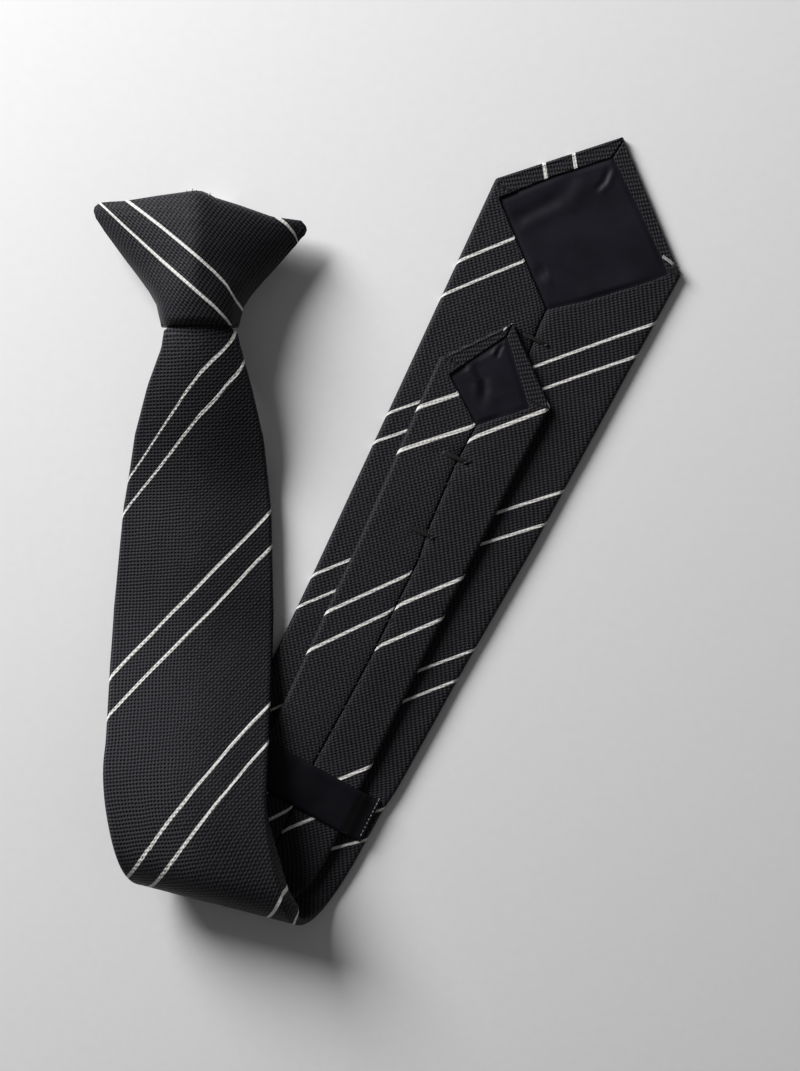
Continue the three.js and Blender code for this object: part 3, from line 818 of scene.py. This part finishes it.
# The top edge of the knot: across, height over the mouth
KNOT_TOP = [(-36.9, 42.6), (-34.3, 43.0), (-25.6, 43.1), (-13.8, 44.7), (-1.3, 46.2), (2.6, 45.9),
            (4.6, 44.2), (13.6, 41.6), (25.2, 37.8), (34.8, 37.0), (36.9, 35.8)]

# Where the knot's bands cross it: columns across, heights over the mouth
KNOT_COLUMNS = (-36, -24, -12, 0, 6, 10, 13, 26, 30, 33, 36)
KNOT_BANDS = [(44.1, 32.7, 21.6, 11.0, 5.9, 1.6, -3, -22, -28, -33, -38),
              (52.0, 42.4, 33.0, 22.9, 17.6, 13.5, 8.3, -9, -15, -20, -25),
              (103, 92, 81, 70, 65, 61, 56, 38.2, 35.3, 31.8, 22)]
KNOT_COUNTS = (0.0, STRIPE_SECOND, 1.0)


def knot_repeats(x, y):
    crossings = [np.interp(x, KNOT_COLUMNS, row) for row in KNOT_BANDS]
    first = (y - crossings[0]) / (crossings[1] - crossings[0])
    second = (y - crossings[1]) / (crossings[2] - crossings[1])
    above = KNOT_COUNTS[2] - KNOT_COUNTS[1]
    return np.minimum(first, 1) * KNOT_COUNTS[1] + np.clip(second, 0, 1.08) * above


def knot_top(u):
    return np.interp(u, *zip(*KNOT_TOP))


def knot_ring(up, skin, count=96):
    """Points round the knot at one share of its height."""
    flare, left, right, bulge = (np.interp(up, KNOT_SECTIONS[:, 0], KNOT_SECTIONS[:, k]) for k in range(1, 5))
    half = MOUTH_HALF + (KNOT_WIDTH / 2 - MOUTH_HALF) * flare - skin
    low = KNOT_BACK + skin
    top = KNOT_BACK + MOUTH_HEIGHT + KNOT_BULGE * bulge - skin
    x = np.sin(np.linspace(-math.pi / 2, math.pi / 2, count // 2))
    side = KNOT_BACK + MOUTH_HEIGHT * np.where(x < 0, left, right) - skin / 2
    dome = 1 - np.abs(x) ** (2.2 - 0.7 * smooth((up - 0.15) / 0.35))
    ridge = 0.5 * np.exp(-(x / 0.16) ** 2) * smooth((up - 0.1) / 0.3)
    front = side + (top - side) * np.clip(dome, 0, 1) + (0 if skin else ridge)
    corner = 2.2
    round_side = 1 - np.abs(x) ** 14
    front = low + corner + (front - low - corner) * (0.35 + 0.65 * round_side)
    back = low + corner * np.abs(x) ** 8
    xs = np.concatenate([x, x[::-1]]) * half
    zs = np.concatenate([front, back[::-1]])
    return xs, up * knot_top(xs), zs


def knot():
    ups = np.concatenate([np.linspace(0, 0.1, 9)[:-1], np.linspace(0.1, 0.85, 52)[:-1],
                          np.linspace(0.85, 1, 20)])
    outer = np.array([np.stack(knot_ring(up, 0), axis=-1) for up in ups])
    lip = 1.2 * (1 - smooth(ups / 0.05))
    upper = outer[:, :, 2] > KNOT_BACK + MOUTH_HEIGHT / 2
    outer[:, :, 2] -= np.where(upper, lip[:, None], -lip[:, None] * 0.3)
    inner = np.array([np.stack(knot_ring(up, KNOT_WALL), axis=-1) for up in np.linspace(0.93, 0.0, 12)])
    count = outer.shape[1]
    # Cloth length round each ring from the ridge, and up the knot
    step = np.linalg.norm(np.diff(outer, axis=1, append=outer[:, :1])[:, :, [0, 2]], axis=2)
    length = np.concatenate([np.zeros((len(ups), 1)), np.cumsum(step, axis=1)[:, :-1]], axis=1)
    middle = length[:, count // 4 - 1:count // 4 + 1].mean(axis=1)
    cloth_x = length - middle[:, None]
    cloth_y = outer[:, :, 1]
    stripe = knot_repeats(outer[:, :, 0], cloth_y)
    cloth = np.stack([cloth_x, cloth_y], axis=-1)
    points = np.concatenate([inner.reshape(-1, 3), outer.reshape(-1, 3)])
    points[:, :2] += MOUTH
    inner_cloth = np.zeros((len(inner) * count, 2))
    uv = np.concatenate([inner_cloth, cloth.reshape(-1, 2)]) / 100
    lip_wear = np.repeat(0.6 * (1 - smooth(ups / 0.04))[:, None], count, axis=1)
    bands = np.stack([stripe, lip_wear], axis=-1).reshape(-1, 2)
    bands = np.concatenate([np.full((len(inner) * count, 2), 0.5), bands])
    piece = made("knot_cloth", points, ring_faces(len(inner) + len(ups), count), CLOTH,
                 {"cloth": uv, "stripe": bands, "weave": np.full((len(points), 2), 0.8)})
    return face_outward(piece)


# Where a blade's V starts, its corners are and its point ends, and what its hems mirror in
WIDE_MARKS = (438.8, 470.4, 504.4, 508.4, 505.5)
NARROW_MARKS = (391.6, 408.0, 428.9, 430.5, 430.0)


def middle_of_wide(s):
    return 0 * s


wide = sleeve("wide_blade_cloth", wide_sides, middle_of_wide, 0, WIDE_BANDS, (WIDE_LEFT_END, WIDE_RIGHT_END),
              WIDE_DENTS, WIDE_MARKS, 11)
narrow = sleeve("narrow_blade_cloth", narrow_sides, narrow_middle, PITCH, NARROW_BANDS,
                (NARROW_LEFT_END, NARROW_RIGHT_END), NARROW_DENTS, NARROW_MARKS, 12)
wide_lining = lining("wide_tip_satin", wide_sides, middle_of_wide, 0, (WIDE_LEFT_END, WIDE_RIGHT_END),
                     WIDE_MARKS, WIDE_CREASES, 21)
narrow_lining = lining("narrow_tip_satin", narrow_sides, narrow_middle, PITCH,
                       (NARROW_LEFT_END, NARROW_RIGHT_END), NARROW_MARKS, NARROW_CREASES, 22)
ribbon = keeper()
knot_piece = knot()


def strand(path, radius, sides=7):
    """Points and faces of a thin tube along a path, drawn in at both ends."""
    path = np.asarray(path, float)
    share = np.linspace(0, 1, 4 * len(path) - 3)
    at = np.stack([np.interp(share, np.linspace(0, 1, len(path)), path[:, k]) for k in range(3)], axis=-1)
    ahead = np.gradient(at, axis=0)
    ahead /= np.linalg.norm(ahead, axis=1, keepdims=True) + 1e-9
    side = np.cross(ahead, (0.13, 0.21, 0.97))
    side /= np.linalg.norm(side, axis=1, keepdims=True) + 1e-9
    up = np.cross(side, ahead)
    size = radius * (0.35 + 0.65 * np.sin(np.pi * np.clip(share, 0.08, 0.92)) ** 0.4)
    turn = np.linspace(0, 2 * math.pi, sides, endpoint=False)
    ring = side[:, None] * np.cos(turn)[None, :, None] + up[:, None] * np.sin(turn)[None, :, None]
    points = at[:, None] + ring * size[:, None, None]
    faces = ring_faces(len(at), sides, close_ends=False)
    last = (len(at) - 1) * sides
    faces += [tuple(range(sides))[::-1], tuple(last + j for j in range(sides))]
    return points.reshape(-1, 3), faces


def strands(name, runs, material):
    """Several threads in one piece. Each run is a path in millimetres and a radius."""
    points, faces = [], []
    for path, radius in runs:
        more, rings = strand(path, radius)
        start = sum(len(p) for p in points)
        points.append(more)
        faces += [tuple(start + k for k in f) for f in rings]
    return face_outward(made(name, np.concatenate(points), faces, material))


def laid_on(rows, below, middle_at=None):
    """A path on a blade's back from rows of along, across and height over it."""
    s, u, up = (np.array([r[k] for r in rows], float) for k in range(3))
    middle = middle_at(s) if middle_at else 0
    return on_tie(s, u + middle, -below - up)


def slip_stitches(seam, first, last, below, middle_at, seed):
    """Small slanted stitches that hold the two flaps together."""
    draw = np.random.default_rng(seed)
    runs = []
    for s in np.arange(first, last, 8.5):
        s = s + draw.uniform(-1.4, 1.4)
        u = float(np.interp(s, *zip(*seam)))
        lean = draw.uniform(0.5, 1.3)
        rows = [(s - lean, u - 0.9, -0.05), (s, u, 0.12), (s + lean, u + 0.9, -0.05)]
        runs.append((laid_on(rows, below, middle_at), 0.1))
    return runs


def tack(s, u, low, high, below, middle_at, seed):
    """A bar tack: a few threads side by side across the seam, with their ends let loose."""
    draw = np.random.default_rng(seed)
    runs = []
    for k in range(5):
        off = 0.24 * (k - 2)
        lift = draw.uniform(0.1, 0.22)
        rows = [(s + off - 0.3, u + low, -0.1), (s + off, u + low * 0.4, lift),
                (s + off + 0.2, u + high * 0.5, lift), (s + off + 0.3, u + high, -0.1)]
        runs.append((laid_on(rows, below, middle_at), 0.15))
    rows = [(s - 0.5, u + high - 0.6, 0.1), (s, u + high - 0.1, 0.35), (s + 0.6, u + high + 0.5, 0.1)]
    runs.append((laid_on(rows, below, middle_at), 0.45))
    for _ in range(3):
        end_s, end_u = s + draw.uniform(-2, 2), u + high + draw.uniform(0.4, 2.2)
        rows = [(s, u + high * 0.8, 0.1), ((s + end_s) / 2 + 0.3, (u + high + end_u) / 2, 0.45),
                (end_s, end_u, 0.1)]
        runs.append((laid_on(rows, below, middle_at), 0.1))
    return runs


dark_runs = slip_stitches(WIDE_SEAM, 300, 424, 0, None, 31)
dark_runs += slip_stitches(NARROW_SEAM, 266, 388, PITCH, narrow_middle, 32)
dark_runs += tack(427.6, 1.0, -4.5, 4.5, -0.25, None, 33)
dark_runs += tack(378.2, 0.4, -6.5, 2.6, PITCH - 0.35, narrow_middle, 34)
dark_runs += tack(349.6, 1.2, -8.5, 2.4, PITCH - 0.3, narrow_middle, 35)
# A tuft where the hem turns at the right corner
for tip_s, tip_u in ((470.2, 36.4), (471.4, 35.8), (472.9, 34.6), (474.0, 33.2), (470.9, 36.9)):
    rows = [(472.2, 31.8, 0.1), ((472 + tip_s) / 2, (32 + tip_u) / 2, 0.5), (tip_s, tip_u, 0.2)]
    dark_runs.append((laid_on(rows, 0), 0.14))
light_runs = []
for lean in (-0.35, 0.0, 0.4):
    rows = [(473.6 + lean, 27.6, -0.2), (473.3 + lean, 29.4, 0.25), (472.9 + lean, 31.4, 0.3),
            (472.4 + lean, 32.9, 0.0)]
    light_runs.append((laid_on(rows, 0), 0.14))
# A bit of the white stripe shows where the narrow point's hems meet
rows = [(424.9, -5.0, -0.3), (425.7, -4.7, 0.0), (426.7, -4.4, -0.2)]
light_runs.append((laid_on(rows, PITCH - 0.35, narrow_middle), 0.38))
# Loose ends along the knot's top edge: across, lean, length, radius, and the threads that each is one of
LOOSE_ENDS = ((-3.6, -0.4, 1.3, 0.12, dark_runs), (-2.2, 0.5, 1.6, 0.12, dark_runs),
              (-0.6, 0.2, 1.1, 0.12, dark_runs), (3.4, 0.9, 1.2, 0.2, light_runs),
              (5.0, -0.2, 0.9, 0.12, dark_runs))
knot_x, knot_y, knot_z = knot_ring(0.985, 0)
for x, lean, length, radius, runs in LOOSE_ENDS:
    k = int(np.argmin(np.abs(knot_x[:len(knot_x) // 2] - x)))
    at = np.array([MOUTH[0] + x, MOUTH[1] + knot_y[k] - 0.4, knot_z[k] - 0.2])
    path = [at, at + (lean * 0.4, length * 0.5, 0.3), at + (lean, length, 0.1)]
    runs.append((path, radius))
# The line of stitches that closes the ribbon's right end
ribbon_end = wide_half(KEEPER_AT) - KEEPER_INSET - 0.9
for s in np.arange(KEEPER_AT - 7.0, KEEPER_AT + 7.0, 1.5):
    centre = float(ribbon_end + narrow_middle(KEEPER_AT))
    rows = [(s, centre, KEEPER_THICK + CLEAR - 0.05), (s + 0.5, centre + 0.1, KEEPER_THICK + CLEAR + 0.18),
            (s + 1.1, centre, KEEPER_THICK + CLEAR - 0.05)]
    light_runs.append((laid_on(rows, 0), 0.09))
dark_threads = strands("sewing_threads", dark_runs, THREAD)
light_threads = strands("light_threads", light_runs, PALE_THREAD)
for piece in (dark_threads, light_threads):
    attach(piece, "root")

for piece, node, slot in ((wide, "wide_blade", "striped_cloth"), (narrow, "narrow_blade", "striped_cloth"),
                          (wide_lining, "wide_tip_lining", "satin_lining"),
                          (narrow_lining, "narrow_tip_lining", "satin_lining"),
                          (ribbon, "keeper_loop", "satin_ribbon"),
                          (knot_piece, "knot_wrap", "striped_cloth")):
    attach(piece, "root")
    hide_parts(node)

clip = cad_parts["collar_clip"]
clip.data.materials.clear()
clip.data.materials.append(clip_metal())

# Floor
FLOOR_HALF, FLOOR_DROP = 3000.0, 0.2
corners = [(x * FLOOR_HALF, y * FLOOR_HALF, -FLOOR_DROP) for x, y in ((-1, -1), (1, -1), (1, 1), (-1, 1))]
floor = made("floor", corners, [(0, 1, 2, 3)], floor_paper())


def area_light(name, place, size, power):
    """A round light turned to the middle of the tie."""
    light = bpy.data.lights.new(name, "AREA")
    light.shape = "DISK"
    light.size = size
    light.energy = power
    lamp = bpy.data.objects.new(name, light)
    bpy.context.scene.collection.objects.link(lamp)
    lamp.location = place
    lamp.rotation_euler = (-Vector(place)).to_track_quat("-Z", "Y").to_euler()


KEY_PLACE, KEY_SIZE, KEY_POWER = (-0.8, 0.85, 0.62), 0.7, 29
FILL_PLACE, FILL_SIZE, FILL_POWER = (1.1, -0.5, 0.9), 1.2, 0.5
WORLD_STRENGTH = 0.09
area_light("key", KEY_PLACE, KEY_SIZE, KEY_POWER)
area_light("fill", FILL_PLACE, FILL_SIZE, FILL_POWER)
world = bpy.data.worlds.new("studio")
world.use_nodes = True
world.node_tree.nodes["Background"].inputs[0].default_value = (1, 1, 1, 1)
world.node_tree.nodes["Background"].inputs[1].default_value = WORLD_STRENGTH
bpy.context.scene.world = world
bpy.context.scene.view_settings.view_transform = "Standard"

# The camera looks straight down on the middle of the picture
PIXEL = 0.35
PICTURE_HIGH = 1071
CAMERA_HEIGHT = 0.9
VIEW_FROM_MOUTH = np.array([69.05, -71.975])
centre = (MOUTH + VIEW_FROM_MOUTH) * MM
camera_data = bpy.data.cameras.new("camera")
camera_data.sensor_width = 36
camera_data.lens = 36 * CAMERA_HEIGHT / (PICTURE_HIGH * PIXEL * MM)
camera = bpy.data.objects.new("camera", camera_data)
bpy.context.scene.collection.objects.link(camera)
camera.location = (centre[0], centre[1], CAMERA_HEIGHT)
bpy.context.scene.camera = camera
